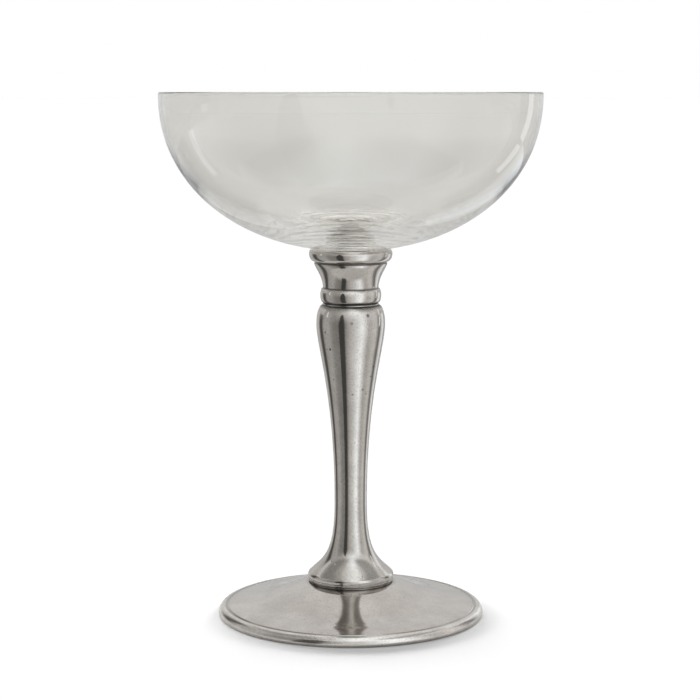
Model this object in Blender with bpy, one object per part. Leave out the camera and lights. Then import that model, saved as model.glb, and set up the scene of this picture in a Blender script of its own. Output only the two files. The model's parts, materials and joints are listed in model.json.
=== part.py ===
# Champagne coupe: a crystal bowl cemented into a turned pewter cup, on a pewter baluster stem and foot.
# Sizes are in metres, +Z is up, and the origin is on the table under the middle of the foot.

import math

import bmesh
import bpy
from mathutils import Vector
from mathutils.geometry import interpolate_bezier

# Clearance kept at every joint
FIT_GAP = 0.0003

# Foot: outer rim and the turned groove beside it
FOOT_RADIUS = 0.0372
RIM_WIDTH = 0.0019
RIM_CROWN = 0.0018
RIM_EDGE_HEIGHT = 0.0005
RIM_TUCK = 0.00035
GROOVE_WIDTH = 0.0008
GROOVE_DEPTH = 0.0003
REST_WIDTH = 0.0033

# Foot: top surface, a cone with a slight swell near the stem and a slight dish near the groove
HUB_HEIGHT = 0.0092
HUB_SLOPE = 15.0
SWELL_REACH = 0.0080
SWELL_HEIGHT = 0.00635
SWELL_SLOPE = 22.5
DISH_REACH = 0.0060
DISH_HEIGHT = 0.00385
DISH_SLOPE = 9.0
GROOVE_LIP_HEIGHT = 0.00235
GROOVE_LIP_SLOPE = 21.0

# Foot: underside
FOOT_WALL = 0.0023
UNDERCUT = 0.0005

# Stem: bell-shaped lower end
LIP_RADIUS = 0.01205
LIP_RISE = 0.0015
LIP_TUCK = 0.00025
LIP_ROUND = 0.0014
FLARE_HEIGHT = 0.0210
FLARE_ANGLE = 46.5
FLARE_LIP_PULL = 0.0055
FLARE_WAIST_PULL = 0.0151

# Stem: baluster from the waist to the shoulder
WAIST_RADIUS = 0.00452
BALUSTER_LENGTH = 0.0501
BALUSTER_WAIST_PULL = 0.0301
BALUSTER_SHOULDER_PULL = 0.0068
SHOULDER_RADIUS = 0.00955
SHOULDER_HEIGHT = 0.0052
STEM_COLLAR_HEIGHT = 0.0005
STEM_TOP_RADIUS = 0.0078

# Stem: spigots and the solder rings round them
FOOT_SPIGOT_RADIUS = 0.0040
FOOT_SPIGOT_LENGTH = 0.0022
FOOT_SOLDER_WIDTH = 0.0040
CUP_SPIGOT_RADIUS = 0.0042
CUP_SPIGOT_LENGTH = 0.0046
CUP_SOLDER_WIDTH = 0.0012
SOLDER_THICKNESS = 0.0004

# Cup: lower ring, flared neck and top bead
RING_RADIUS = 0.00845
RING_HEIGHT = 0.00395
NECK_RADIUS = 0.0077
NECK_HEIGHT = 0.0069
NECK_LOW_PULL = 0.0031
NECK_HIGH_PULL = 0.0011
NECK_TOP_RADIUS = 0.01013
BEAD_GROOVE_HEIGHT = 0.00045
BEAD_GROOVE_DEPTH = 0.00025
BEAD_RADIUS = 0.01154
BEAD_LOW_HEIGHT = 0.0022
BEAD_HIGH_HEIGHT = 0.00115
BEAD_TOP_WIDTH = 0.00065

# Bowl
BOWL_RADIUS = 0.0525
BOWL_DEPTH = 0.0424
BOWL_FULLNESS = 2.1
BOWL_INNER_FULLNESS = 2.2
BOWL_LIP_HEIGHT = 0.0010
BOWL_WALL = 0.0011
BOWL_BASE = 0.0035
PEG_RADIUS = 0.0055
PEG_LENGTH = 0.0040
PEG_CHAMFER = 0.0005

# Cement bed round the peg
CEMENT_WALL = 0.0006
CEMENT_FLOOR = 0.0008

# Facets: round the axis of wide and slim pieces, and along each kind of outline
WIDE_SIDES = 48
SLIM_SIDES = 36
BOWL_STEPS = 15
CURVE_STEPS = 9
ROUND_STEPS = 4
EDGE_STEPS = 2

# Edges bent more than this stay crisp, and points closer than this are one
CRISP_ANGLE = math.radians(35.0)
WELD_DISTANCE = 0.000001

# Colours, linear
CRYSTAL = (0.92, 0.92, 0.90)
CEMENT = (0.80, 0.79, 0.76)
POLISHED_PEWTER = (0.46, 0.44, 0.41)
SATIN_PEWTER = (0.50, 0.48, 0.45)
SOLDER = (0.30, 0.29, 0.27)

# Places that follow from the sizes above
stem_base = HUB_HEIGHT + FIT_GAP
waist_height = LIP_RISE + FLARE_HEIGHT
shoulder_place = waist_height + BALUSTER_LENGTH
stem_length = shoulder_place + SHOULDER_HEIGHT + STEM_COLLAR_HEIGHT
cup_base = stem_base + stem_length + FIT_GAP
bead_groove_place = RING_HEIGHT + NECK_HEIGHT
bead_place = bead_groove_place + BEAD_GROOVE_HEIGHT + BEAD_LOW_HEIGHT
seat_radius = BEAD_RADIUS - BEAD_TOP_WIDTH
socket_radius = PEG_RADIUS + CEMENT_WALL + 2 * FIT_GAP
solder_recess = SOLDER_THICKNESS + FIT_GAP


def bowl_rise(radius):
    """Height of the bowl's outer curve above its lowest point, at a radius."""
    share = 1.0 - (radius / BOWL_RADIUS) ** BOWL_FULLNESS
    return BOWL_DEPTH * (1.0 - share ** (1.0 / BOWL_FULLNESS))


# The bowl's lowest outer point stands where its curve clears the top of the bead
bowl_base = cup_base + bead_place + BEAD_HIGH_HEIGHT + FIT_GAP - bowl_rise(seat_radius)


def arc(centre, reach_out, reach_up, start, end, steps):
    """Points of an elliptical arc; 0 degrees is outwards and 90 degrees is up."""
    points = []
    for step in range(steps + 1):
        angle = math.radians(start + (end - start) * step / steps)
        points.append((centre[0] + reach_out * math.cos(angle), centre[1] + reach_up * math.sin(angle)))
    return points


def bezier(start, start_handle, end_handle, end, steps):
    """Points of a Bezier curve in the plane of the outline, both ends included."""
    knots = [Vector((place[0], place[1], 0.0)) for place in (start, start_handle, end_handle, end)]
    return [(point.x, point.y) for point in interpolate_bezier(*knots, steps + 1)]


def sloping_curve(stations, steps):
    """Smooth curve outwards through (radius, height, fall in degrees) stations."""
    points = []
    for (radius, height, fall), (next_radius, next_height, next_fall) in zip(stations, stations[1:]):
        third = (next_radius - radius) / 3.0
        handle = (radius + third, height - third * math.tan(math.radians(fall)))
        next_handle = (next_radius - third, next_height + third * math.tan(math.radians(next_fall)))
        stretch = bezier((radius, height), handle, next_handle, (next_radius, next_height), steps)
        points += stretch if not points else stretch[1:]
    return points


def bowl_curve(radius, depth, fullness, start_radius):
    """Points of a full, rounded bowl curve from start_radius out to the brim, depth above its bottom."""
    first = math.acos((start_radius / radius) ** (fullness / 2.0))
    points = []
    for step in range(BOWL_STEPS + 1):
        angle = first * (1.0 - step / BOWL_STEPS)
        out = radius * math.cos(angle) ** (2.0 / fullness)
        down = depth * math.sin(angle) ** (2.0 / fullness)
        points.append((out, BOWL_DEPTH - down))
    return points


def plain_material(name, colour, metallic, roughness, transmission=0.0):
    """Principled material of one piece."""
    material = bpy.data.materials.new(name)
    material.use_nodes = True
    shader = material.node_tree.nodes["Principled BSDF"]
    shader.inputs["Base Color"].default_value = (*colour, 1.0)
    shader.inputs["Metallic"].default_value = metallic
    shader.inputs["Roughness"].default_value = roughness
    shader.inputs["Transmission Weight"].default_value = transmission
    material.diffuse_color = (*colour, 1.0)
    return material


def turn(name, outline, height, sides, material, parent):
    """Spin an outline of (radius, height) points about the axis into one closed piece."""
    shape = bmesh.new()
    points = [shape.verts.new((radius, 0.0, level)) for radius, level in outline]
    lines = [shape.edges.new(pair) for pair in zip(points, points[1:])]
    if outline[0][0] > 0.0:
        lines.append(shape.edges.new((points[-1], points[0])))
    bmesh.ops.spin(
        shape,
        geom=points + lines,
        cent=(0.0, 0.0, 0.0),
        axis=(0.0, 0.0, 1.0),
        angle=2.0 * math.pi,
        steps=sides,
    )
    bmesh.ops.remove_doubles(shape, verts=shape.verts[:], dist=WELD_DISTANCE)
    bmesh.ops.recalc_face_normals(shape, faces=shape.faces[:])
    mesh = bpy.data.meshes.new(name)
    shape.to_mesh(mesh)
    shape.free()
    mesh.shade_smooth()
    mesh.set_sharp_from_angle(angle=CRISP_ANGLE)
    mesh.materials.append(material)
    piece = bpy.data.objects.new(name, mesh)
    piece.location = (0.0, 0.0, height)
    piece.parent = parent
    bpy.context.collection.objects.link(piece)
    return piece


def foot_outline():
    """Hub with a hole and solder recess, waved cone, groove, round rim and hollow underside."""
    groove_outer = FOOT_RADIUS - RIM_WIDTH
    groove_inner = groove_outer - GROOVE_WIDTH
    hole = FOOT_SPIGOT_RADIUS + FIT_GAP
    recess = hole + FOOT_SOLDER_WIDTH + 2 * FIT_GAP
    rest_outer = FOOT_RADIUS - RIM_TUCK
    rest_inner = rest_outer - REST_WIDTH
    top = sloping_curve(
        [
            (LIP_RADIUS, HUB_HEIGHT, HUB_SLOPE),
            (LIP_RADIUS + SWELL_REACH, SWELL_HEIGHT, SWELL_SLOPE),
            (groove_inner - DISH_REACH, DISH_HEIGHT, DISH_SLOPE),
            (groove_inner, GROOVE_LIP_HEIGHT, GROOVE_LIP_SLOPE),
        ],
        ROUND_STEPS,
    )
    groove_floor = (groove_inner + GROOVE_WIDTH / 2, GROOVE_LIP_HEIGHT - GROOVE_DEPTH)
    crown = arc((groove_outer, RIM_EDGE_HEIGHT), RIM_WIDTH, RIM_CROWN, 90, 0, ROUND_STEPS)
    tuck = arc((rest_outer, RIM_EDGE_HEIGHT), RIM_TUCK, RIM_EDGE_HEIGHT, 0, -90, EDGE_STEPS)

    # The underside keeps the top's waves, drawn in to the undercut beside the resting ring
    hub_ceiling = HUB_HEIGHT - FOOT_WALL
    inside = [point for point in top if point[0] < rest_inner]
    lowest = inside[-1][1]
    squeeze = (hub_ceiling - UNDERCUT) / (HUB_HEIGHT - lowest)
    ceiling = [(radius, UNDERCUT + (level - lowest) * squeeze) for radius, level in reversed(inside)]

    recess_floor = HUB_HEIGHT - solder_recess
    outline = [(hole, recess_floor), (recess, recess_floor), (recess, HUB_HEIGHT)]
    outline += top + [groove_floor] + crown + tuck[1:]
    outline += [(rest_inner, 0.0), (rest_inner, UNDERCUT)] + ceiling[1:]
    outline += [(hole, hub_ceiling)]
    return outline


def stem_outline():
    """Lower spigot, bell, waist, baluster, shoulder, solder recess and upper spigot."""
    tuck = arc((LIP_RADIUS - LIP_TUCK, LIP_RISE), LIP_TUCK, LIP_RISE, -90, 0, EDGE_STEPS)
    lip = arc((LIP_RADIUS - LIP_ROUND, LIP_RISE), LIP_ROUND, LIP_ROUND, 0, FLARE_ANGLE, EDGE_STEPS)
    lip_end = lip[-1]
    lip_handle = (
        lip_end[0] - FLARE_LIP_PULL * math.sin(math.radians(FLARE_ANGLE)),
        lip_end[1] + FLARE_LIP_PULL * math.cos(math.radians(FLARE_ANGLE)),
    )
    waist = (WAIST_RADIUS, waist_height)
    waist_handle = (WAIST_RADIUS, waist_height - FLARE_WAIST_PULL)
    flare = bezier(lip_end, lip_handle, waist_handle, waist, CURVE_STEPS)
    shoulder = (SHOULDER_RADIUS, shoulder_place)
    baluster = bezier(
        waist,
        (WAIST_RADIUS, waist_height + BALUSTER_WAIST_PULL),
        (SHOULDER_RADIUS, shoulder_place - BALUSTER_SHOULDER_PULL),
        shoulder,
        CURVE_STEPS,
    )
    shoulder_width = SHOULDER_RADIUS - STEM_TOP_RADIUS
    crown = arc((STEM_TOP_RADIUS, shoulder_place), shoulder_width, SHOULDER_HEIGHT, 0, 90, ROUND_STEPS)
    recess = CUP_SPIGOT_RADIUS + CUP_SOLDER_WIDTH + 2 * FIT_GAP
    spigot_top = stem_length + CUP_SPIGOT_LENGTH

    recess_floor = stem_length - solder_recess
    outline = [(0.0, -FOOT_SPIGOT_LENGTH), (FOOT_SPIGOT_RADIUS, -FOOT_SPIGOT_LENGTH)]
    outline += [(FOOT_SPIGOT_RADIUS, 0.0)] + tuck + lip[1:] + flare[1:] + baluster[1:] + crown[1:]
    outline += [(STEM_TOP_RADIUS, stem_length), (recess, stem_length), (recess, recess_floor)]
    outline += [(CUP_SPIGOT_RADIUS, recess_floor), (CUP_SPIGOT_RADIUS, spigot_top), (0.0, spigot_top)]
    return outline


def cup_outline():
    """Spigot bore, lower ring, flared neck, fine groove, top bead, bowl seat and peg socket."""
    bore = CUP_SPIGOT_RADIUS + FIT_GAP
    middle = RING_HEIGHT / 2
    ring_low = arc((STEM_TOP_RADIUS, middle), RING_RADIUS - STEM_TOP_RADIUS, middle, -90, 0, ROUND_STEPS)
    ring_high = arc((NECK_RADIUS, middle), RING_RADIUS - NECK_RADIUS, middle, 0, 90, ROUND_STEPS)
    neck = bezier(
        (NECK_RADIUS, RING_HEIGHT),
        (NECK_RADIUS, RING_HEIGHT + NECK_LOW_PULL),
        (NECK_TOP_RADIUS, bead_groove_place - NECK_HIGH_PULL),
        (NECK_TOP_RADIUS, bead_groove_place),
        CURVE_STEPS,
    )
    groove_floor = (NECK_TOP_RADIUS - BEAD_GROOVE_DEPTH, bead_groove_place + BEAD_GROOVE_HEIGHT / 2)
    bead_width = BEAD_RADIUS - NECK_TOP_RADIUS
    bead_low = arc((NECK_TOP_RADIUS, bead_place), bead_width, BEAD_LOW_HEIGHT, -90, 0, ROUND_STEPS)
    bead_high = arc((seat_radius, bead_place), BEAD_TOP_WIDTH, BEAD_HIGH_HEIGHT, 0, 90, ROUND_STEPS)

    # The seat lies one clearance under the bowl, from the bead's top to the mouth of the socket
    bowl_place = bowl_base - cup_base
    seat = []
    for step in range(1, ROUND_STEPS + 1):
        radius = seat_radius + (socket_radius - seat_radius) * step / ROUND_STEPS
        seat.append((radius, bowl_place + bowl_rise(radius) - FIT_GAP))
    socket_floor = bowl_place - PEG_LENGTH - CEMENT_FLOOR - 2 * FIT_GAP

    outline = [(0.0, CUP_SPIGOT_LENGTH), (bore, CUP_SPIGOT_LENGTH), (bore, 0.0)]
    outline += ring_low + ring_high[1:] + neck[1:] + [groove_floor] + bead_low + bead_high[1:]
    outline += seat + [(socket_radius, socket_floor), (0.0, socket_floor)]
    return outline


def bowl_outline():
    """Glass peg, outer curve, straight lip, round rim and inner curve; the base is thicker than the wall."""
    half_wall = BOWL_WALL / 2
    rim_place = BOWL_DEPTH + BOWL_LIP_HEIGHT - half_wall
    outer = bowl_curve(BOWL_RADIUS, BOWL_DEPTH, BOWL_FULLNESS, PEG_RADIUS)
    inner = bowl_curve(BOWL_RADIUS - BOWL_WALL, BOWL_DEPTH - BOWL_BASE, BOWL_INNER_FULLNESS, 0.0)
    rim = arc((BOWL_RADIUS - half_wall, rim_place), half_wall, half_wall, 0, 180, ROUND_STEPS)

    outline = [(0.0, -PEG_LENGTH), (PEG_RADIUS - PEG_CHAMFER, -PEG_LENGTH)]
    outline += [(PEG_RADIUS, PEG_CHAMFER - PEG_LENGTH)]
    outline += outer + rim + inner[:0:-1] + [(0.0, BOWL_BASE)]
    return outline


def cement_outline():
    """Cup-shaped bed between the bowl's peg and the socket, measured from the bowl's lowest point."""
    inner = PEG_RADIUS + FIT_GAP
    outer = inner + CEMENT_WALL
    floor = -PEG_LENGTH - FIT_GAP
    brim = bowl_rise(inner) - FIT_GAP
    return [
        (0.0, floor - CEMENT_FLOOR),
        (outer, floor - CEMENT_FLOOR),
        (outer, brim),
        (inner, brim),
        (inner, floor),
        (0.0, floor),
    ]


def solder_outline(spigot_radius, clearance, width):
    """Flat ring round a spigot, measured from its underside."""
    inner = spigot_radius + clearance
    outer = inner + width
    return [(inner, 0.0), (outer, 0.0), (outer, SOLDER_THICKNESS), (inner, SOLDER_THICKNESS)]


def build():
    """Clear the scene and make the seven pieces under one empty."""
    for old in list(bpy.data.objects):
        bpy.data.objects.remove(old, do_unlink=True)
    coupe = bpy.data.objects.new("coupe", None)
    bpy.context.collection.objects.link(coupe)

    crystal = plain_material("clear crystal", CRYSTAL, 0.0, 0.02, 1.0)
    cement = plain_material("clear cement", CEMENT, 0.0, 0.35, 0.6)
    cup_pewter = plain_material("pewter, polished cup", POLISHED_PEWTER, 1.0, 0.26)
    stem_pewter = plain_material("pewter, polished stem", POLISHED_PEWTER, 1.0, 0.26)
    foot_pewter = plain_material("pewter, satin foot", SATIN_PEWTER, 1.0, 0.34)
    cup_tin = plain_material("tin solder, upper joint", SOLDER, 1.0, 0.45)
    foot_tin = plain_material("tin solder, lower joint", SOLDER, 1.0, 0.45)

    foot_ring = solder_outline(FOOT_SPIGOT_RADIUS, 2 * FIT_GAP, FOOT_SOLDER_WIDTH)
    cup_ring = solder_outline(CUP_SPIGOT_RADIUS, FIT_GAP, CUP_SOLDER_WIDTH)
    stem_top = stem_base + stem_length

    turn("foot", foot_outline(), 0.0, WIDE_SIDES, foot_pewter, coupe)
    turn("foot_solder", foot_ring, HUB_HEIGHT - SOLDER_THICKNESS, SLIM_SIDES, foot_tin, coupe)
    turn("stem", stem_outline(), stem_base, SLIM_SIDES, stem_pewter, coupe)
    turn("cup_solder", cup_ring, stem_top - SOLDER_THICKNESS, SLIM_SIDES, cup_tin, coupe)
    turn("stem_cup", cup_outline(), cup_base, SLIM_SIDES, cup_pewter, coupe)
    turn("bowl_cement", cement_outline(), bowl_base, SLIM_SIDES, cement, coupe)
    turn("bowl", bowl_outline(), bowl_base, WIDE_SIDES, crystal, coupe)


build()
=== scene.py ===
# Champagne coupe: the finished look, a blown crystal bowl on a turned pewter cup, stem and foot.
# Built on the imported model, in metres. The dictionaries give sizes in millimetres and angles in degrees.
import json
import math

import bpy
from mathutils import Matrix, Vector
from mathutils.geometry import interpolate_bezier

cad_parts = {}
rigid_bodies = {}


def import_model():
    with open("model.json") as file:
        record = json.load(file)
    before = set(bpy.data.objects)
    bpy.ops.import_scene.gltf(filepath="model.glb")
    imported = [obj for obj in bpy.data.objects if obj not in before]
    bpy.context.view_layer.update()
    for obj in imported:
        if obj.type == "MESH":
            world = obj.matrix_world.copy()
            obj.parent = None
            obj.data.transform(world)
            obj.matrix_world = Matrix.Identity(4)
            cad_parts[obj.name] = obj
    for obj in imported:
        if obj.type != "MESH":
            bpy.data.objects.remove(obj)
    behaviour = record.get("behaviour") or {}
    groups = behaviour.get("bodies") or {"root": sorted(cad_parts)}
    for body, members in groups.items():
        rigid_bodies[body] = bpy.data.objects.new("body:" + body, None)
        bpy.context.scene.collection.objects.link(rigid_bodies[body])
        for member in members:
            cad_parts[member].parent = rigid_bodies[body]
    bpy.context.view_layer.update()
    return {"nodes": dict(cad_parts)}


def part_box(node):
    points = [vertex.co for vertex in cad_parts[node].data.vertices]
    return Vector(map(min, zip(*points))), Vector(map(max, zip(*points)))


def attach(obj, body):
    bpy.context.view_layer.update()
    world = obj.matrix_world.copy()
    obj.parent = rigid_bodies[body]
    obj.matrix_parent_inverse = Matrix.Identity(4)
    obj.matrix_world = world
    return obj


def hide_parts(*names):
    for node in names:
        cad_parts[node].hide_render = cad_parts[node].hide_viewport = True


for old in list(bpy.data.objects):
    bpy.data.objects.remove(old, do_unlink=True)

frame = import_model()
mm = 0.001
nodeBottom = {node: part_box(node)[0].z / mm for node in frame["nodes"]}
nodeTop = {node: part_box(node)[1].z / mm for node in frame["nodes"]}
nodeRadius = {node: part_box(node)[1].x / mm for node in frame["nodes"]}
print("frame loaded:", sorted(frame["nodes"]))


# Shader helpers

# Sockets that share their name with another are picked by number
numberA, numberB, colourA, colourB, colourOut = 2, 3, 6, 7, 2  # of Mix
fromLow, fromHigh, toLow, toHigh = 1, 2, 3, 4  # of Map Range


def toLinear(hexColour):  # "#rrggbb" as picked on screen, to the linear values that shaders use
    parts = [int(hexColour[start:start + 2], 16) / 255 for start in (1, 3, 5)]
    return [part / 12.92 if part <= 0.04045 else ((part + 0.055) / 1.055) ** 2.4 for part in parts] + [1.0]


def addNode(tree, kind, values={}, links={}, **settings):
    node = tree.nodes.new(kind)
    for name, value in settings.items():
        setattr(node, name, value)
    for name, value in values.items():
        node.inputs[name].default_value = value
    for name, socket in links.items():
        tree.links.new(socket, node.inputs[name])
    return node


def newMaterial(name):
    material = bpy.data.materials.new(name)
    material.use_nodes = True
    return material, material.node_tree, material.node_tree.nodes["Principled BSDF"]


# Outline helpers: every piece is a turned outline of (radius, height) points, with a darkening for each
# point: patina in the hollows, painted shade in the joints between parts

def arc(centre, across, upward, start, end, steps):
    points = []
    for step in range(steps + 1):
        angle = math.radians(start + (end - start) * step / steps)
        points.append((centre[0] + across * math.cos(angle), centre[1] + upward * math.sin(angle)))
    return points


def sweep(start, startPull, endPull, end, steps):
    knots = [Vector((place[0], place[1], 0.0)) for place in (start, startPull, endPull, end)]
    return [(point.x, point.y) for point in interpolate_bezier(*knots, steps + 1)]


def easeHeights(points, passes):  # evens out the bends where two sweeps meet
    for _ in range(passes):
        middle = [(here[0], (before[1] + 2 * here[1] + after[1]) / 4)
                  for before, here, after in zip(points, points[1:], points[2:])]
        points = [points[0]] + middle + [points[-1]]
    return points


def stainAndShadeFrom(place, bands):  # dark patina left in the hollows, and painted shade in the joints between parts: (middle, reach, strength) of each
    return max(strength * max(0.0, 1 - abs(place - middle) / reach) for middle, reach, strength in bands)


sharpAngle = 40.0  # edges that bend more than this stay crisp


def turnPiece(name, shape, sides, closed=False):
    rings, points, faces, alongs, shadeAndStains = [], [], [], [], []
    outline, outlineStainAndShade = shape
    travelled = 0.0
    before = outline[0]
    for (radius, height), dirtAndShade in zip(outline, outlineStainAndShade):
        travelled += math.dist((radius, height), before)
        before = (radius, height)
        count = sides if radius > 0 else 1  # one point where the outline meets the axis
        rings.append(range(len(points), len(points) + count))
        for side in range(count):
            angle = 2 * math.pi * side / sides
            points.append((radius * math.cos(angle) * mm, radius * math.sin(angle) * mm, height * mm))
        alongs += [travelled] * count
        shadeAndStains += [dirtAndShade] * count
    for low, high in zip(rings, rings[1:] + rings[:1] if closed else rings[1:]):
        for side in range(sides):
            after = (side + 1) % sides
            corners = [low[side % len(low)], low[after % len(low)],
                       high[after % len(high)], high[side % len(high)]]
            faces.append(list(dict.fromkeys(corners)))
    mesh = bpy.data.meshes.new(name)
    mesh.from_pydata(points, [], faces)
    mesh.attributes.new("along", "FLOAT", "POINT").data.foreach_set("value", alongs)
    mesh.attributes.new("stainAndShade", "FLOAT", "POINT").data.foreach_set("value", shadeAndStains)
    mesh.shade_smooth()
    mesh.set_sharp_from_angle(angle=math.radians(sharpAngle))
    piece = bpy.data.objects.new(name, mesh)
    bpy.context.scene.collection.objects.link(piece)
    return piece


def standFor(piece, node, material):
    piece.data.materials.append(material)
    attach(piece, "root")
    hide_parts(node)


# Materials

pewterFinish = dict(
    light="#b9b4ae", dull="#aaa59f", speck="#8b8680", patinaAndShade="#2e2b28",
    clouds=(7.0, 5.0, 0.6), waves=(5.0, 1.0, 0.5), grain=(0.4, 2.0, 0.5),  # size, detail, roughness
    latheStep=0.3, latheDetail=2.0,  # real grain and lathe lines are about 0.1, drawn coarser to show
    toneRange=(0.35, 0.65), speckRange=(0.52, 0.75), speckShare=0.6,
    patchRange=(0.3, 0.7), patinaAndShadeShare=(0.7, 1.2), pitEdge=(0.5, 0.9),
    roughness=0.07, cloudRoughness=0.05, patinaAndShadeRoughness=0.3,
    wavesDepth=0.003, grainDepth=0.0008, latheDepth=0.0004,
)


# Antiqued pewter, cast, turned and rubbed: a warm grey soft mirror, with dark patina left in the hollows and
# painted shade in the joints, fine lathe lines, a satin grain and a few casting pits
def turnedPewter(name, finish, pits=()):
    material, tree, shader = newMaterial(name)
    coords = addNode(tree, "ShaderNodeTexCoord").outputs["Object"]
    along = addNode(tree, "ShaderNodeAttribute", attribute_name="along").outputs["Fac"]
    stainAndShade = addNode(tree, "ShaderNodeAttribute", attribute_name="stainAndShade").outputs["Fac"]
    noise = {}
    for layer in ("clouds", "waves", "grain"):
        size, detail, roughness = finish[layer]
        noise[layer] = addNode(tree, "ShaderNodeTexNoise", links={"Vector": coords}, values={
            "Scale": 1 / (size * mm), "Detail": detail, "Roughness": roughness}).outputs["Fac"]
    noise["lathe"] = addNode(tree, "ShaderNodeTexNoise", noise_dimensions="1D", links={"W": along}, values={
        "Scale": 1 / finish["latheStep"], "Detail": finish["latheDetail"]}).outputs["Fac"]

    toneLow, toneHigh = finish["toneRange"]
    tone = addNode(tree, "ShaderNodeMapRange", links={0: noise["clouds"]},
                   values={fromLow: toneLow, fromHigh: toneHigh}).outputs[0]
    colour = addNode(tree, "ShaderNodeMix", data_type="RGBA", links={0: tone}, values={
        colourA: toLinear(finish["dull"]), colourB: toLinear(finish["light"])}).outputs[colourOut]
    speckLow, speckHigh = finish["speckRange"]
    specks = addNode(tree, "ShaderNodeMapRange", links={0: noise["grain"]}, values={
        fromLow: speckLow, fromHigh: speckHigh, toHigh: finish["speckShare"]}).outputs[0]
    colour = addNode(tree, "ShaderNodeMix", data_type="RGBA", links={0: specks, colourA: colour},
                     values={colourB: toLinear(finish["speck"])}).outputs[colourOut]

    patchLow, patchHigh = finish["patchRange"]
    thin, thick = finish["patinaAndShadeShare"]
    ragged = addNode(tree, "ShaderNodeMapRange", links={0: noise["clouds"]}, values={
        fromLow: patchLow, fromHigh: patchHigh, toLow: thin, toHigh: thick}).outputs[0]
    dirtAndShade = addNode(tree, "ShaderNodeMath", operation="MULTIPLY", use_clamp=True,
                   links={0: stainAndShade, 1: ragged}).outputs[0]
    pitInner, pitOuter = finish["pitEdge"]
    for azimuth, height, radius, size, darkness in pits:
        turn = math.radians(azimuth)
        spot = (math.sin(turn) * radius * mm, -math.cos(turn) * radius * mm, height * mm)
        away = addNode(tree, "ShaderNodeVectorMath", operation="DISTANCE",
                       links={0: coords}, values={1: spot}).outputs["Value"]
        hole = addNode(tree, "ShaderNodeMapRange", links={0: away}, values={
            fromLow: size * mm * pitInner, fromHigh: size * mm * pitOuter,
            toLow: darkness, toHigh: 0.0}).outputs[0]
        dirtAndShade = addNode(tree, "ShaderNodeMath", operation="MAXIMUM", links={0: dirtAndShade, 1: hole}).outputs[0]
    # the patina colour here also paints shade in the joints between parts: under the stem's lip and round
    # the cup's ring
    colour = addNode(tree, "ShaderNodeMix", data_type="RGBA", links={0: dirtAndShade, colourA: colour},
                     values={colourB: toLinear(finish["patinaAndShade"])}).outputs[colourOut]

    dullness = addNode(tree, "ShaderNodeMapRange", links={0: noise["clouds"]}, values={
        fromLow: patchLow, fromHigh: patchHigh,
        toLow: finish["roughness"] + finish["cloudRoughness"], toHigh: finish["roughness"]}).outputs[0]
    dullness = addNode(tree, "ShaderNodeMath", operation="MULTIPLY_ADD", links={0: dirtAndShade, 2: dullness},
                       values={1: finish["patinaAndShadeRoughness"]}).outputs[0]

    bump = None
    for layer in ("waves", "grain", "lathe"):
        links = {"Height": noise[layer]}
        if bump is not None:
            links["Normal"] = bump
        bump = addNode(tree, "ShaderNodeBump", links=links,
                       values={"Distance": finish[layer + "Depth"] * mm}).outputs[0]
    for socket, source in (("Base Color", colour), ("Roughness", dullness), ("Normal", bump)):
        tree.links.new(source, shader.inputs[socket])
    shader.inputs["Metallic"].default_value = 1.0
    return material


crystalFinish = dict(
    tint="#fbfaf7", warm="#faf9f5", depthTint="#b4b2aa", density=6.0, ior=1.52, roughness=0.0,
    streakSize=16.0, streakDetail=1.0, streakDepth=0.003,
)


# Clear crystal, blown and fire-polished: smooth, colourless, a little grey in the wall, with a slow wobble
def blownCrystal(finish):
    material, tree, shader = newMaterial("clear crystal, blown")
    coords = addNode(tree, "ShaderNodeTexCoord").outputs["Object"]
    streaks = addNode(tree, "ShaderNodeTexNoise", links={"Vector": coords}, values={
        "Scale": 1 / (finish["streakSize"] * mm), "Detail": finish["streakDetail"]}).outputs["Fac"]
    colour = addNode(tree, "ShaderNodeMix", data_type="RGBA", links={0: streaks}, values={
        colourA: toLinear(finish["tint"]), colourB: toLinear(finish["warm"])}).outputs[colourOut]
    wobble = addNode(tree, "ShaderNodeBump", links={"Height": streaks},
                     values={"Distance": finish["streakDepth"] * mm}).outputs[0]
    tree.links.new(colour, shader.inputs["Base Color"])
    tree.links.new(wobble, shader.inputs["Normal"])
    shader.inputs["Roughness"].default_value = finish["roughness"]
    shader.inputs["IOR"].default_value = finish["ior"]
    shader.inputs["Transmission Weight"].default_value = 1.0
    depth = addNode(tree, "ShaderNodeVolumeAbsorption",
                    values={"Color": toLinear(finish["depthTint"]), "Density": finish["density"]})
    tree.links.new(depth.outputs[0], tree.nodes["Material Output"].inputs["Volume"])
    return material


innerFinish = dict(
    cloudDetail=4.0,
    cement=dict(light="#8f8c85", dark="#7a7770", cloudSize=1.5, roughness=0.4, metallic=0.0),
    solder=dict(light="#a09d98", dark="#84817c", cloudSize=0.8, roughness=0.35, metallic=1.0),
)


# Clear cement, set in the socket: takes the grey of the metal behind it, with fine cloudy streaks
# Tin solder, wiped while soft: dull grey with a frosted grain
def setMaterial(name, finish):
    material, tree, shader = newMaterial(name)
    coords = addNode(tree, "ShaderNodeTexCoord").outputs["Object"]
    clouds = addNode(tree, "ShaderNodeTexNoise", links={"Vector": coords}, values={
        "Scale": 1 / (finish["cloudSize"] * mm), "Detail": innerFinish["cloudDetail"]}).outputs["Fac"]
    colour = addNode(tree, "ShaderNodeMix", data_type="RGBA", links={0: clouds}, values={
        colourA: toLinear(finish["dark"]), colourB: toLinear(finish["light"])}).outputs[colourOut]
    tree.links.new(colour, shader.inputs["Base Color"])
    shader.inputs["Roughness"].default_value = finish["roughness"]
    shader.inputs["Metallic"].default_value = finish["metallic"]
    return material


# Foot

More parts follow.
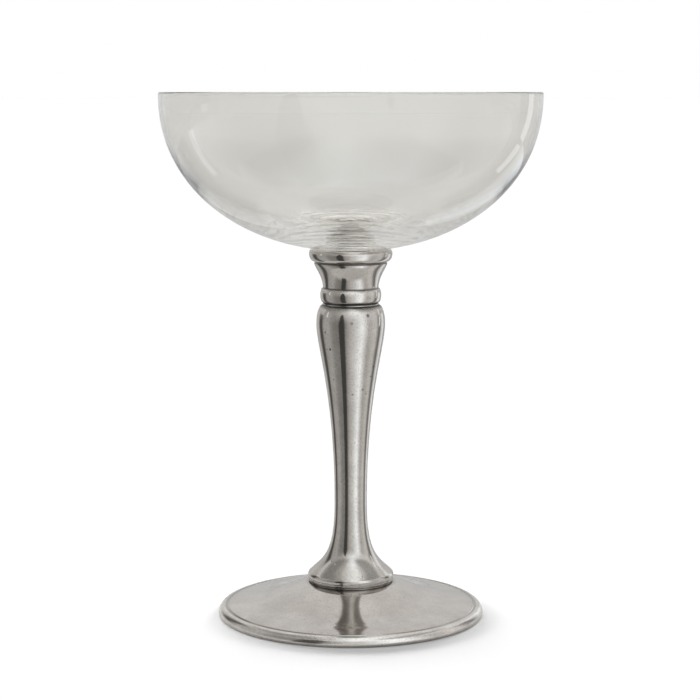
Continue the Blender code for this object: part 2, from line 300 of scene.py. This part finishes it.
foot = dict(
    rimWidth=1.9, rimCrown=2.2, edgeHeight=0.5, edgeTuck=0.35,
    grooveWidth=0.8, grooveDip=0.325, grooveInnerPull=0.15, grooveOuterPull=0.1,
    hubInset=0.4, hubFall=15.0, swellReach=8.0, swellHeight=6.35, swellFall=22.5,
    dishReach=6.0, dishHeight=3.85, dishFall=9.0, lipHeight=2.75, lipFall=21.0,
    restWidth=3.3, undercut=0.5, wall=2.3, hole=4.3,
    # the hub's band is painted shade under the stem's lip; the groove's band is patina
    grooveStain=0.35, hubShade=0.35, hubShadeReach=0.9, underStain=0.5,
    sides=256, slopeSteps=24, easePasses=30, grooveSteps=14, rimSteps=24, tuckSteps=8,
    underStride=3,  # the hidden underside keeps every third point of the top
)


def footOutline():
    edgeRadius = nodeRadius["foot"]
    hubRadius = nodeRadius["stem"]
    hubHeight = nodeTop["foot"]
    grooveOuter = edgeRadius - foot["rimWidth"]
    grooveInner = grooveOuter - foot["grooveWidth"]
    stations = [  # radius, height, fall of the slope
        (hubRadius, hubHeight, foot["hubFall"]),
        (hubRadius + foot["swellReach"], foot["swellHeight"], foot["swellFall"]),
        (grooveInner - foot["dishReach"], foot["dishHeight"], foot["dishFall"]),
        (grooveInner, foot["lipHeight"], foot["lipFall"]),
    ]
    top = []
    for (radius, height, fall), (nextRadius, nextHeight, nextFall) in zip(stations, stations[1:]):
        third = (nextRadius - radius) / 3
        pull = (radius + third, height - third * math.tan(math.radians(fall)))
        nextPull = (nextRadius - third, nextHeight + third * math.tan(math.radians(nextFall)))
        slope = sweep((radius, height), pull, nextPull, (nextRadius, nextHeight), foot["slopeSteps"])
        top += slope[1 if top else 0:]
    top = easeHeights(top, foot["easePasses"])
    grooveMiddle = grooveInner + foot["grooveWidth"] / 2
    grooveFloor = foot["lipHeight"] - foot["grooveDip"]
    groove = sweep((grooveInner, foot["lipHeight"]), (grooveMiddle - foot["grooveInnerPull"], grooveFloor),
                   (grooveMiddle + foot["grooveOuterPull"], grooveFloor),
                   (grooveOuter, foot["edgeHeight"] + foot["rimCrown"]), foot["grooveSteps"])
    crown = arc((grooveOuter, foot["edgeHeight"]), foot["rimWidth"], foot["rimCrown"],
                90, 0, foot["rimSteps"])
    tuckRadius = edgeRadius - foot["edgeTuck"]
    tuck = arc((tuckRadius, foot["edgeHeight"]), foot["edgeTuck"], foot["edgeHeight"],
               0, -90, foot["tuckSteps"])
    restInner = tuckRadius - foot["restWidth"]
    ceiling = hubHeight - foot["wall"]
    inside = [point for point in top if point[0] < restInner]
    lowest = inside[-1][1]
    squeeze = (ceiling - foot["undercut"]) / (hubHeight - lowest)
    under = [(radius, foot["undercut"] + (height - lowest) * squeeze)
             for radius, height in reversed(inside[::foot["underStride"]])]
    upper = [(foot["hole"], hubHeight), (hubRadius - foot["hubInset"], hubHeight)]
    upper += top + groove[1:] + crown[1:] + tuck[1:]
    lower = [(restInner, 0.0), (restInner, foot["undercut"])] + under + [(foot["hole"], ceiling)]
    # painted shade round the hub under the stem's lip, and patina in the groove
    bands = [(hubRadius, foot["hubShadeReach"], foot["hubShade"]),
             (grooveMiddle, foot["grooveWidth"], foot["grooveStain"])]
    stainAndShade = [stainAndShadeFrom(radius, bands) for radius, height in upper] + [foot["underStain"]] * len(lower)
    return upper + lower, stainAndShade


# Stem

stem = dict(
    lipRise=1.5, lipTuck=0.25, lipRound=1.4, flareHeight=21.0, flareAngle=46.5, flareLipPull=5.5,
    flareWaistPull=15.1, waistRadius=4.52, balusterLength=50.1, balusterWaistPull=30.1,
    balusterShoulderPull=6.8, shoulderRadius=9.55, shoulderHeight=5.2, collarHeight=0.5, topRadius=7.8,
    baseGap=0.3, baseInset=0.6, spigotLength=2.2, topInset=0.5, edgeRound=0.08,
    # the bands at the base and the collar, and the top of the joint, are painted shade where the stem meets
    # the foot and the cup
    baseShade=0.55, baseShadeReach=0.6, collarShade=1.0, collarShadeReach=0.9, edgeStain=0.1, topShade=1.0,
    sides=256, tuckSteps=10, lipSteps=12, flareSteps=90, balusterSteps=160, crownSteps=30,
    pits=[  # azimuth, height, radius, width, darkness
        (-47.4, 80.3, 9.38, 0.45, 0.6), (-47.5, 75.5, 8.98, 0.4, 0.85), (-40.1, 75.6, 8.98, 0.55, 0.95),
        (-40.5, 67.1, 7.07, 0.4, 0.5), (30.5, 85.1, 9.29, 0.7, 0.7), (1.8, 83.1, 9.54, 0.6, 0.45),
        (53.1, 70.6, 7.93, 0.6, 0.8), (48.7, 67.9, 7.27, 0.35, 0.7), (4.8, 63.1, 6.38, 0.5, 0.6),
        (28.8, 64.4, 6.6, 0.5, 0.7), (39.0, 63.1, 6.38, 0.45, 0.65), (-12.2, 10.7, 11.64, 0.9, 0.8),
        (151.0, 79.2, 9.3, 0.5, 0.7), (-158.0, 73.5, 8.6, 0.4, 0.8), (124.0, 66.8, 7.0, 0.45, 0.6),
    ],
)


def stemOutline():
    base = nodeBottom["stem"] + stem["spigotLength"]
    lipRadius = nodeRadius["stem"]
    waistRadius = stem["waistRadius"]
    shoulderRadius = stem["shoulderRadius"]
    topRadius = stem["topRadius"]
    lipPlace = base + stem["lipRise"]
    waistPlace = lipPlace + stem["flareHeight"]
    shoulderPlace = waistPlace + stem["balusterLength"]
    collarFoot = shoulderPlace + stem["shoulderHeight"]
    top = collarFoot + stem["collarHeight"]
    angle = math.radians(stem["flareAngle"])
    lipPull = stem["flareLipPull"]
    tuck = arc((lipRadius - stem["lipTuck"], lipPlace), stem["lipTuck"], stem["lipRise"],
               -90, 0, stem["tuckSteps"])
    lip = arc((lipRadius - stem["lipRound"], lipPlace), stem["lipRound"], stem["lipRound"],
              0, stem["flareAngle"], stem["lipSteps"])
    lipEnd = lip[-1]
    flare = sweep(lipEnd, (lipEnd[0] - lipPull * math.sin(angle), lipEnd[1] + lipPull * math.cos(angle)),
                  (waistRadius, waistPlace - stem["flareWaistPull"]), (waistRadius, waistPlace),
                  stem["flareSteps"])
    baluster = sweep((waistRadius, waistPlace), (waistRadius, waistPlace + stem["balusterWaistPull"]),
                     (shoulderRadius, shoulderPlace - stem["balusterShoulderPull"]),
                     (shoulderRadius, shoulderPlace), stem["balusterSteps"])
    crown = arc((topRadius, shoulderPlace), shoulderRadius - topRadius, stem["shoulderHeight"],
                0, 90, stem["crownSteps"])
    sole = base - stem["baseGap"]
    inner = topRadius - stem["topInset"]
    below = [(0.0, sole), (lipRadius - stem["baseInset"], sole), (lipRadius - stem["baseInset"], base)]
    body = tuck + lip[1:] + flare[1:] + baluster[1:] + crown[1:]
    above = [(topRadius, top - stem["edgeRound"]), (topRadius - stem["edgeRound"], top)]
    joint = [(inner, top), (inner, top + stem["baseGap"]), (0.0, top + stem["baseGap"])]
    # painted shade at the stem's base under its lip, at the collar under the cup's ring, and on the joint
    # inside the gap
    bands = [(base, stem["baseShadeReach"], stem["baseShade"]),
             (collarFoot, stem["collarShadeReach"], stem["collarShade"])]
    stainAndShade = [stainAndShadeFrom(height, bands) for radius, height in below + body]
    stainAndShade += [stem["edgeStain"]] * len(above) + [stem["topShade"]] * len(joint)
    return below + body + above + joint, stainAndShade


# Bowl

bowl = dict(
    depth=42.4, fullness=2.1, innerFullness=2.2, lipHeight=1.0, wall=1.1, base=3.5,
    pegRadius=5.5, pegLength=4.0, pegChamfer=0.5,
    rippleDepth=0.32, rippleSteps=(4.6, 2.9), rippleFade=(13.0, 22.0), rippleWander=0.8,
    wanderWaves=[(1, 1.0, 0.6), (2, 0.5, 1.9)],  # waves round the axis, share, start in radians
    sides=240, outerSteps=120, innerSteps=260, rimSteps=16,
)


def bowlRise(radius):  # height of the outside above the bowl's bottom
    share = 1 - (radius / nodeRadius["bowl"]) ** bowl["fullness"]
    return bowl["depth"] * (1 - share ** (1 / bowl["fullness"]))


def bowlCurve(radius, depth, fullness, brim, start, steps):
    first = math.acos((start / radius) ** (fullness / 2))
    power = 2 / fullness
    points = []
    for step in range(steps + 1):
        angle = first * (1 - step / steps)
        points.append((radius * math.cos(angle) ** power, brim - depth * math.sin(angle) ** power))
    return points


def bowlOutline():
    radius = nodeRadius["bowl"]
    pegFoot = nodeBottom["bowl"]
    pegRadius = bowl["pegRadius"]
    brim = pegFoot + bowl["pegLength"] + bowl["depth"]
    half = bowl["wall"] / 2
    outer = bowlCurve(radius, bowl["depth"], bowl["fullness"], brim, pegRadius, bowl["outerSteps"])
    inner = bowlCurve(radius - bowl["wall"], bowl["depth"] - bowl["base"], bowl["innerFullness"],
                      brim, 0.0, bowl["innerSteps"])
    rim = arc((radius - half, brim + bowl["lipHeight"] - half), half, half, 0, 180, bowl["rimSteps"])
    peg = [(0.0, pegFoot), (pegRadius - bowl["pegChamfer"], pegFoot),
           (pegRadius, pegFoot + bowl["pegChamfer"])]
    outline = peg + outer + rim + inner[:0:-1] + [(0.0, inner[0][1])]
    return outline, [0.0] * len(outline)


def rippleFloor(piece):  # rings left in the thick bottom by the blower's tools, wandering round the axis
    floor = nodeBottom["bowl"] + bowl["pegLength"] + bowl["base"] / 2
    start, end = bowl["rippleFade"]
    for point in piece.data.vertices:
        across, back, height = point.co / mm
        radius = math.hypot(across, back)
        if radius < end and height > floor + bowlRise(radius):
            angle = math.atan2(back, across)
            wander = bowl["rippleWander"] * sum(share * math.sin(count * angle + first)
                                                for count, share, first in bowl["wanderWaves"])
            rings = [math.cos(2 * math.pi * (radius + wander) / step) for step in bowl["rippleSteps"]]
            fade = min(1.0, (end - radius) / (end - start))
            point.co.z += bowl["rippleDepth"] * fade * sum(rings) / len(rings) * mm


# Cup under the bowl

cup = dict(
    ringRadius=8.45, ringHeight=3.95, neckRadius=7.7, neckHeight=6.9, neckLowPull=3.1, neckHighPull=1.1,
    neckTopRadius=10.13, beadGrooveHeight=0.45, beadGrooveDepth=0.25, beadLowHeight=2.2, beadHighHeight=1.15,
    beadTopWidth=0.65, socketRadius=6.7, socketDepth=5.4, soleLift=0.05, soleInset=0.3,
    seatGap=0.15,  # a hair of air between the seat and the glass
    # the bands at the base and the sole are painted shade in the joint over the stem; the crease and groove
    # bands are patina
    baseShade=1.0, baseShadeReach=0.7, creaseStain=0.85, creaseStainReach=0.4,
    grooveStain=0.8, grooveStainReach=0.5, seatStain=0.25, soleShade=1.0,
    sides=256, ringSteps=20, neckSteps=50, grooveSteps=10, beadLowSteps=26, beadHighSteps=20, seatSteps=8,
)


def cupOutline():
    base = nodeBottom["stem_cup"]
    bowlBottom = nodeBottom["bowl"] + bowl["pegLength"]
    stemRadius = stem["topRadius"]
    neckRadius, neckTop = cup["neckRadius"], cup["neckTopRadius"]
    ringTop = base + cup["ringHeight"]
    ringMiddle = base + cup["ringHeight"] / 2
    grooveFoot = ringTop + cup["neckHeight"]
    beadFoot = grooveFoot + cup["beadGrooveHeight"]
    grooveMiddle = (grooveFoot + beadFoot) / 2
    beadPlace = beadFoot + cup["beadLowHeight"]
    beadRadius = nodeRadius["stem_cup"]
    seatRadius = beadRadius - cup["beadTopWidth"]
    ringHalf = ringMiddle - base
    ringLow = arc((stemRadius, ringMiddle), cup["ringRadius"] - stemRadius, ringHalf,
                  -90, 0, cup["ringSteps"])
    ringHigh = arc((neckRadius, ringMiddle), cup["ringRadius"] - neckRadius, ringHalf,
                   0, 90, cup["ringSteps"])
    neck = sweep((neckRadius, ringTop), (neckRadius, ringTop + cup["neckLowPull"]),
                 (neckTop, grooveFoot - cup["neckHighPull"]), (neckTop, grooveFoot), cup["neckSteps"])
    groove = arc((neckTop, grooveMiddle), -cup["beadGrooveDepth"], cup["beadGrooveHeight"] / 2,
                 -90, 90, cup["grooveSteps"])
    beadLow = arc((neckTop, beadPlace), beadRadius - neckTop, cup["beadLowHeight"],
                  -90, 0, cup["beadLowSteps"])
    beadHigh = arc((seatRadius, beadPlace), cup["beadTopWidth"], cup["beadHighHeight"],
                   0, 90, cup["beadHighSteps"])
    seat = []
    for step in range(1, cup["seatSteps"] + 1):
        radius = seatRadius + (cup["socketRadius"] - seatRadius) * step / cup["seatSteps"]
        seat.append((radius, bowlBottom + bowlRise(radius) - cup["seatGap"]))
    floor = bowlBottom - cup["socketDepth"]
    sole = base + cup["soleLift"]
    under = [(0.0, sole), (stemRadius - cup["soleInset"], sole)]
    outside = ringLow + ringHigh[1:] + neck[1:] + groove[1:] + beadLow[1:] + beadHigh[1:]
    inside = seat + [(cup["socketRadius"], floor), (0.0, floor)]
    # painted shade at the ring's base and sole over the stem, and patina in the crease and the bead's groove
    bands = [(base, cup["baseShadeReach"], cup["baseShade"]),
             (ringTop, cup["creaseStainReach"], cup["creaseStain"]),
             (grooveMiddle, cup["grooveStainReach"], cup["grooveStain"])]
    stainAndShade = [cup["soleShade"]] * len(under) + [stainAndShadeFrom(height, bands) for radius, height in outside]
    stainAndShade += [cup["seatStain"]] * len(inside)
    return under + outside + inside, stainAndShade


# Pieces, turned and dressed

footPiece = turnPiece("pewterFoot", footOutline(), foot["sides"], closed=True)
stemPiece = turnPiece("pewterStem", stemOutline(), stem["sides"])
cupPiece = turnPiece("pewterCup", cupOutline(), cup["sides"])
bowlPiece = turnPiece("crystalBowl", bowlOutline(), bowl["sides"])
rippleFloor(bowlPiece)
for turned in (bowlPiece, cupPiece, stemPiece):
    turned.visible_shadow = False  # only the foot shades the table, as in the photograph
print("pieces turned:", footPiece.name, stemPiece.name, cupPiece.name, bowlPiece.name)

footFinish = dict(pewterFinish, roughness=0.08, grainDepth=0.002)
rubbedStem = turnedPewter("antiqued pewter, rubbed stem", pewterFinish, stem["pits"])
standFor(footPiece, "foot", turnedPewter("antiqued pewter, satin foot", footFinish))
standFor(stemPiece, "stem", rubbedStem)
standFor(cupPiece, "stem_cup", turnedPewter("antiqued pewter, rubbed cup", pewterFinish))
standFor(bowlPiece, "bowl", blownCrystal(crystalFinish))

# The seat and socket under the glass are painted lighter than the rest of the pewter: a painted highlight
# for how they show through the glass
litSeatFinish = dict(pewterFinish, light="#d3d0ca", dull="#c8c5bf", speck="#b6b3ad", roughness=0.12)
cupPiece.data.materials.append(turnedPewter("pewter seat, painted lighter", litSeatFinish))
brightRings = cup["seatSteps"] + 2  # the seat, then the socket's wall and floor, turned last
for face in cupPiece.data.polygons[-brightRings * cup["sides"]:]:
    face.material_index = 1

# The foot's rim is painted lighter, a painted highlight, and is softer
rimHighlightFinish = dict(footFinish, light="#cbc6c0", dull="#bcb7b1", roughness=0.16)
footPiece.data.materials.append(turnedPewter("antiqued pewter, rim with painted highlight", rimHighlightFinish))
for face in footPiece.data.polygons:
    if math.hypot(face.center.x, face.center.y) > (nodeRadius["foot"] - foot["rimWidth"]) * mm:
        face.material_index = 1

setCement = setMaterial("clear cement, set", innerFinish["cement"])
wipedSolder = setMaterial("tin solder, wiped", innerFinish["solder"])
innerPieces = {"bowl_cement": setCement, "cup_solder": wipedSolder, "foot_solder": wipedSolder}
for node, innerMaterial in innerPieces.items():
    for slot in frame["nodes"][node].material_slots:
        slot.material = innerMaterial
print("pieces dressed, and the inner ones:", sorted(innerPieces))


# Camera, at the photograph's angle

view = dict(distance=546.96, height=145.73, sideways=-0.2, tilt=7.409, lens=102.07, sensor=36.0)
camera = bpy.data.objects.new("camera", bpy.data.cameras.new("camera"))
camera.data.lens = view["lens"]
camera.data.sensor_width = view["sensor"]
camera.location = Vector((view["sideways"], -view["distance"], view["height"])) * mm
camera.rotation_euler = (math.radians(90 - view["tilt"]), 0, 0)
bpy.context.scene.collection.objects.link(camera)
bpy.context.scene.camera = camera
print("camera set")


# Studio: a white room and table, cards that only metal and glass mirror, and soft lights from behind

studio = dict(
    seenWhite=1.0, sky=0.35, brightest=3.0,
    backdrop=[(0.0, 0.68), (0.52, 0.68), (0.65, 0.95), (0.9, 1.1), (1.0, 1.3)],  # from underfoot to overhead
)
white = toLinear("#ffffff")
black = toLinear("#000000")


def seenBy(tree):  # 1 where the camera looks, and 1 where metal or glass does
    path = addNode(tree, "ShaderNodeLightPath").outputs
    mirrored = addNode(tree, "ShaderNodeMath", operation="MAXIMUM",
                       links={0: path["Is Glossy Ray"], 1: path["Is Transmission Ray"]}).outputs[0]
    return path["Is Camera Ray"], mirrored


def placeOf(tree):  # where on the card or table a ray lands
    coords = addNode(tree, "ShaderNodeTexCoord").outputs["Object"]
    return addNode(tree, "ShaderNodeSeparateXYZ", links={0: coords}).outputs


def greyRamp(tree, source, stops):  # stops of (place from 0 to 1, brightness up to studio["brightest"])
    ramp = addNode(tree, "ShaderNodeValToRGB", links={0: source})
    ramp.color_ramp.elements.remove(ramp.color_ramp.elements[1])
    for number, (where, level) in enumerate(stops):
        stop = ramp.color_ramp.elements.new(where) if number else ramp.color_ramp.elements[0]
        stop.position = where
        stop.color = (level / studio["brightest"],) * 3 + (1,)
    return addNode(tree, "ShaderNodeMath", operation="MULTIPLY", links={0: ramp.outputs[0]},
                   values={1: studio["brightest"]}).outputs[0]


# White to the camera, a grey backdrop to metal and glass, and an even dim sky for the light that falls
def whiteRoom():
    world = bpy.data.worlds.new("white room")
    world.use_nodes = True
    tree = world.node_tree
    toCamera, mirrored = seenBy(tree)
    facing = addNode(tree, "ShaderNodeTexCoord").outputs["Generated"]
    upward = addNode(tree, "ShaderNodeSeparateXYZ", links={0: facing}).outputs["Z"]
    rise = addNode(tree, "ShaderNodeMapRange", links={0: upward},
                   values={fromLow: -1.0, fromHigh: 1.0}).outputs[0]
    backdrop = greyRamp(tree, rise, studio["backdrop"])
    unseen = addNode(tree, "ShaderNodeMix", links={0: mirrored, numberB: backdrop},
                     values={numberA: studio["sky"]}).outputs[0]
    strength = addNode(tree, "ShaderNodeMix", links={0: toCamera, numberA: unseen},
                       values={numberB: studio["seenWhite"]}).outputs[0]
    background = tree.nodes["Background"]
    background.inputs["Color"].default_value = white
    tree.links.new(strength, background.inputs["Strength"])
    return world


def stagePiece(name, points, faces, material):
    mesh = bpy.data.meshes.new(name)
    mesh.from_pydata([Vector(point) * mm for point in points], [], faces)
    mesh.materials.append(material)
    piece = bpy.data.objects.new(name, mesh)
    bpy.context.scene.collection.objects.link(piece)
    return piece


def flatCard(name, left, right, front, back, height, material):
    points = [(left, front, height), (right, front, height), (right, back, height), (left, back, height)]
    return stagePiece(name, points, [(0, 1, 2, 3)], material)


table = dict(
    reach=40000.0, drop=0.1, grey=0.88, glow=0.14, depth=4000.0,
    tones=[(0.0, 0.88), (0.005, 0.88), (0.015, 0.6), (0.1, 0.57), (1.0, 0.67)],  # mirrored, front to back
)


# Painted board, matt: white to the camera, with the foot's shadow on it, and greyer behind when mirrored
def whiteTable():
    material, tree, shader = newMaterial("white table")
    toCamera, mirrored = seenBy(tree)
    share = addNode(tree, "ShaderNodeMapRange", links={0: placeOf(tree)["Y"]},
                    values={fromHigh: table["depth"] * mm}).outputs[0]
    mirroredTone = greyRamp(tree, share, table["tones"])
    tone = addNode(tree, "ShaderNodeMix", links={0: mirrored, numberB: mirroredTone},
                   values={numberA: table["grey"]}).outputs[0]
    glow = addNode(tree, "ShaderNodeMath", operation="MULTIPLY", links={0: toCamera},
                   values={1: table["glow"]}).outputs[0]
    tree.links.new(tone, shader.inputs["Base Color"])
    tree.links.new(glow, shader.inputs["Emission Strength"])
    shader.inputs["Roughness"].default_value = 1.0
    shader.inputs["Specular IOR Level"].default_value = 0.0
    shader.inputs["Emission Color"].default_value = white
    return material


cone = dict(
    lowRadius=88.0, spread=0.637, lift=0.1, steps=96, fade=12.0, fadeTo=0.95,
    stops=[  # azimuth to the right of the camera, brightness where white is 1
        (-180, 0.9), (-146, 0.9), (-132, 0.75), (-121, 0.14), (-109, 0.14), (-104, 0.55), (-97, 0.68),
        (-78, 0.72), (-68, 0.55), (-60, 0.45), (-40, 0.38), (-19, 0.42), (-13, 0.62), (-8, 0.78), (0, 0.92),
        (10, 1.12), (24, 1.6), (38, 2.0), (47, 1.6), (55, 1.1), (62, 0.82), (72, 0.88), (82, 1.05),
        (94, 1.05), (103, 0.5), (109, 0.3), (114, 0.3), (119, 0.95), (130, 1.5), (136, 1.5), (140, 0.9),
        (180, 0.9),
    ],
    rows=[  # height, from azimuth, to azimuth
        (0.0, -146, 142), (95.0, -146, 142), (105.0, -104, 104), (175.0, -104, 104),
        (185.0, -146, 142), (520.0, -146, 142),
    ],
    daylight="#f4faff", daylightRange=(1.0, 1.4),  # the brightest parts of the cards are a little cooler
)
lid = dict(  # a flat card over the cone, whose light the cone takes on between the two heights of the blend
    front=-420.0, back=180.0, blend=(80.0, 180.0),
    stops=[  # across, brightness
        (-420, 0.42), (-290, 0.45), (-150, 0.75), (-60, 1.35), (30, 1.9), (100, 1.9), (150, 1.5),
        (210, 0.95), (265, 0.65), (420, 0.6),
    ],
)
flag = dict(  # a narrow dark card in front of the cone
    inset=3.0, grey=0.1, steps=8,
    rows=[(0.0, -40, -20), (85.0, -39, -20), (130.0, -35.0, -24), (180.0, -29.5, -29.0)],
)
strips = dict(  # narrow bright cards in front of the cone
    light=1.5, steps=8,
    cards=[  # inset, rows
        (3.0, [(66.0, 105, 111), (165.0, 116, 124)]),
        (75.0, [(94.0, -86, -81), (122.0, -87.5, -82.5)]),
    ],
)
lidLeft, lidRight = lid["stops"][0][0], lid["stops"][-1][0]


def onlyMirrored(card):
    card.visible_camera = card.visible_diffuse = card.visible_transmission = card.visible_shadow = False


def coneCard(name, rows, inset, material, steps):
    points, faces = [], []
    for height, start, end in rows:
        radius = cone["lowRadius"] + cone["spread"] * height - inset
        for step in range(steps + 1):
            turn = math.radians(start + (end - start) * step / steps)
            points.append((math.sin(turn) * radius, -math.cos(turn) * radius, height + cone["lift"]))
    for row in range(len(rows) - 1):
        for step in range(steps):
            corner = row * (steps + 1) + step
            faces.append((corner, corner + 1, corner + steps + 2, corner + steps + 1))
    onlyMirrored(stagePiece(name, points, faces, material))


def glowing(name, level=1.0):
    material, tree, shader = newMaterial(name)
    shader.inputs["Base Color"].default_value = black
    shader.inputs["Specular IOR Level"].default_value = 0.0
    shader.inputs["Emission Color"].default_value = white
    shader.inputs["Emission Strength"].default_value = level
    return material, tree, shader


def shine(tree, shader, light):
    plain, cool = cone["daylightRange"]
    share = addNode(tree, "ShaderNodeMapRange", links={0: light},
                    values={fromLow: plain, fromHigh: cool}).outputs[0]
    colour = addNode(tree, "ShaderNodeMix", data_type="RGBA", links={0: share},
                     values={colourA: white, colourB: toLinear(cone["daylight"])}).outputs[colourOut]
    tree.links.new(colour, shader.inputs["Emission Color"])
    tree.links.new(light, shader.inputs["Emission Strength"])


def lidLight(tree, across):  # bright over the middle, dim to both sides
    share = addNode(tree, "ShaderNodeMapRange", links={0: across},
                    values={fromLow: lidLeft * mm, fromHigh: lidRight * mm}).outputs[0]
    stops = [((place - lidLeft) / (lidRight - lidLeft), level) for place, level in lid["stops"]]
    return greyRamp(tree, share, stops)


def lidGlow():
    material, tree, shader = glowing("lid of the cone")
    shine(tree, shader, lidLight(tree, placeOf(tree)["X"]))
    return material


def coneGlow():  # changes with the azimuth, pale by the table, and goes over into the lid's light above
    material, tree, shader = glowing("cards of the cone")
    place = placeOf(tree)
    front = addNode(tree, "ShaderNodeMath", operation="MULTIPLY", links={0: place["Y"]},
                    values={1: -1.0}).outputs[0]
    azimuth = addNode(tree, "ShaderNodeMath", operation="ARCTAN2",
                      links={0: place["X"], 1: front}).outputs[0]
    share = addNode(tree, "ShaderNodeMapRange", links={0: azimuth},
                    values={fromLow: -math.pi, fromHigh: math.pi}).outputs[0]
    light = greyRamp(tree, share, [((degrees + 180) / 360, level) for degrees, level in cone["stops"]])
    lowFade = addNode(tree, "ShaderNodeMapRange", links={0: place["Z"]},
                      values={fromHigh: cone["fade"] * mm}).outputs[0]
    light = addNode(tree, "ShaderNodeMix", links={0: lowFade, numberB: light},
                    values={numberA: cone["fadeTo"]}).outputs[0]
    low, high = lid["blend"]
    highFade = addNode(tree, "ShaderNodeMapRange", links={0: place["Z"]},
                       values={fromLow: low * mm, fromHigh: high * mm}).outputs[0]
    light = addNode(tree, "ShaderNodeMix",
                    links={0: highFade, numberA: light, numberB: lidLight(tree, place["X"])}).outputs[0]
    shine(tree, shader, light)
    return material


bpy.context.scene.world = whiteRoom()
reach = table["reach"]
flatCard("table", -reach, reach, -reach, reach, -table["drop"], whiteTable())
coneCard("cone of cards", cone["rows"], 0.0, coneGlow(), cone["steps"])
coneCard("dark flag", flag["rows"], flag["inset"], glowing("dark flag", flag["grey"])[0], flag["steps"])
coneTop = cone["rows"][-1][0]
lidCard = flatCard("lid of the cone", lidLeft, lidRight, lid["front"], lid["back"], coneTop, lidGlow())
onlyMirrored(lidCard)
lidCard.visible_transmission = True  # the bell sees it through the bowl
stripMaterial = glowing("strip light", strips["light"])[0]
for stripInset, stripRows in strips["cards"]:
    coneCard("strip light", stripRows, stripInset, stripMaterial, strips["steps"])

# Three low soft lights behind the coupe, which throw the foot's shadow forward
backLight = dict(swings=(42.0, 10.0, -24.0), height=12.0, softness=24.0, strength=3.3)
for swing in backLight["swings"]:
    sun = bpy.data.objects.new("soft back light", bpy.data.lights.new("soft back light", "SUN"))
    sun.data.energy = backLight["strength"]
    sun.data.angle = math.radians(backLight["softness"])
    sun.rotation_euler = (math.radians(90 - backLight["height"]), 0, math.radians(180 + swing))
    sun.visible_camera = sun.visible_glossy = sun.visible_transmission = False
    bpy.context.scene.collection.objects.link(sun)
print("studio lit")

scene = bpy.context.scene
scene.view_settings.view_transform = "Standard"
lightBounces = 40  # light winds round in the bowl
scene.cycles.max_bounces = lightBounces
scene.cycles.glossy_bounces = lightBounces
scene.cycles.transmission_bounces = lightBounces
